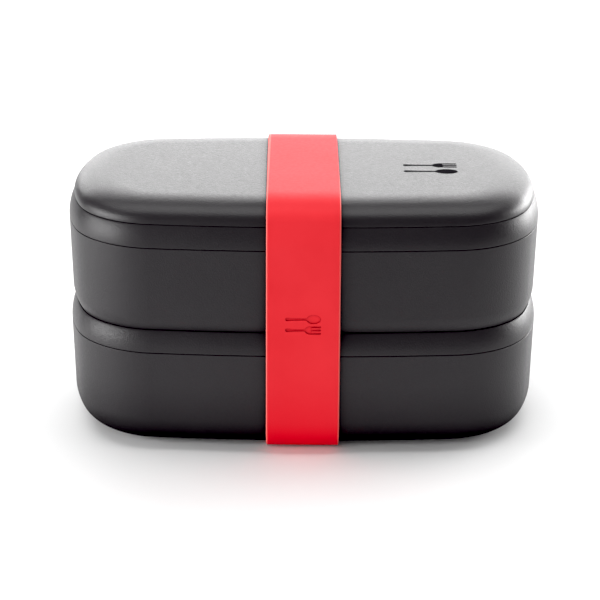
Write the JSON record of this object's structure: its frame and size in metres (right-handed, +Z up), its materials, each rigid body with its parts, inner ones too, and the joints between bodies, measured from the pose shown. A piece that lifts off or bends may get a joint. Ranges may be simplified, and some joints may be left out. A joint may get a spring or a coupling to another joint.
{
  "type": "lunch box",
  "caption": "Two-tier oblong lunch box with nesting containers, sealed lids, a soft-edged top cover and a wide elastic strap around the middle.",
  "frame": {"origin": "centre of the flat underside of the strap, the lowest face of the closed box", "axes": "+Z up, +X along the length, -Y towards the front"},
  "size_m": [0.188, 0.1116, 0.1031],
  "materials": {
    "container_plastic": "matt, fine moulded grain",
    "lid_plastic": "matt, fine moulded grain",
    "cover_plastic": "matt, fine moulded grain",
    "seal_silicone": "smooth satin",
    "plug_silicone": "smooth satin",
    "strap_silicone": "smooth satin"
  },
  "bodies": {
    "lower_tier": {"lower_container": "container_plastic"},
    "lower_cap": {"lower_lid": "lid_plastic", "lower_lid_seal": "seal_silicone"},
    "lower_vent": {"lower_vent_plug": "plug_silicone"},
    "upper_tier": {"upper_container": "container_plastic"},
    "upper_cap": {"upper_lid": "lid_plastic", "upper_lid_seal": "seal_silicone"},
    "upper_vent": {"upper_vent_plug": "plug_silicone"},
    "cover": {"top_cover": "cover_plastic"},
    "band": {"strap": "strap_silicone"}
  },
  "joints": [
    {"name": "lower_lid_lift", "type": "slide", "parent": "lower_tier", "child": "lower_cap", "axis": [0, 0, 1], "range_m": [0, 0.08]},
    {"name": "upper_container_lift", "type": "slide", "parent": "lower_cap", "child": "upper_tier", "axis": [0, 0, 1], "range_m": [0, 0.075]},
    {"name": "upper_lid_lift", "type": "slide", "parent": "upper_tier", "child": "upper_cap", "axis": [0, 0, 1], "range_m": [0, 0.06]},
    {"name": "cover_lift", "type": "slide", "parent": "upper_cap", "child": "cover", "axis": [0, 0, 1], "range_m": [0, 0.06]},
    {"name": "lower_vent_pull", "type": "slide", "parent": "lower_cap", "child": "lower_vent", "axis": [0, 0, 1], "range_m": [0, 0.0018]},
    {"name": "upper_vent_pull", "type": "slide", "parent": "upper_cap", "child": "upper_vent", "axis": [0, 0, 1], "range_m": [0, 0.0018]},
    {"name": "strap_slip", "type": "slide", "parent": "lower_tier", "child": "band", "axis": [1, 0, 0], "range_m": [0, 0.125], "deforming": ["strap"]}
  ]
}
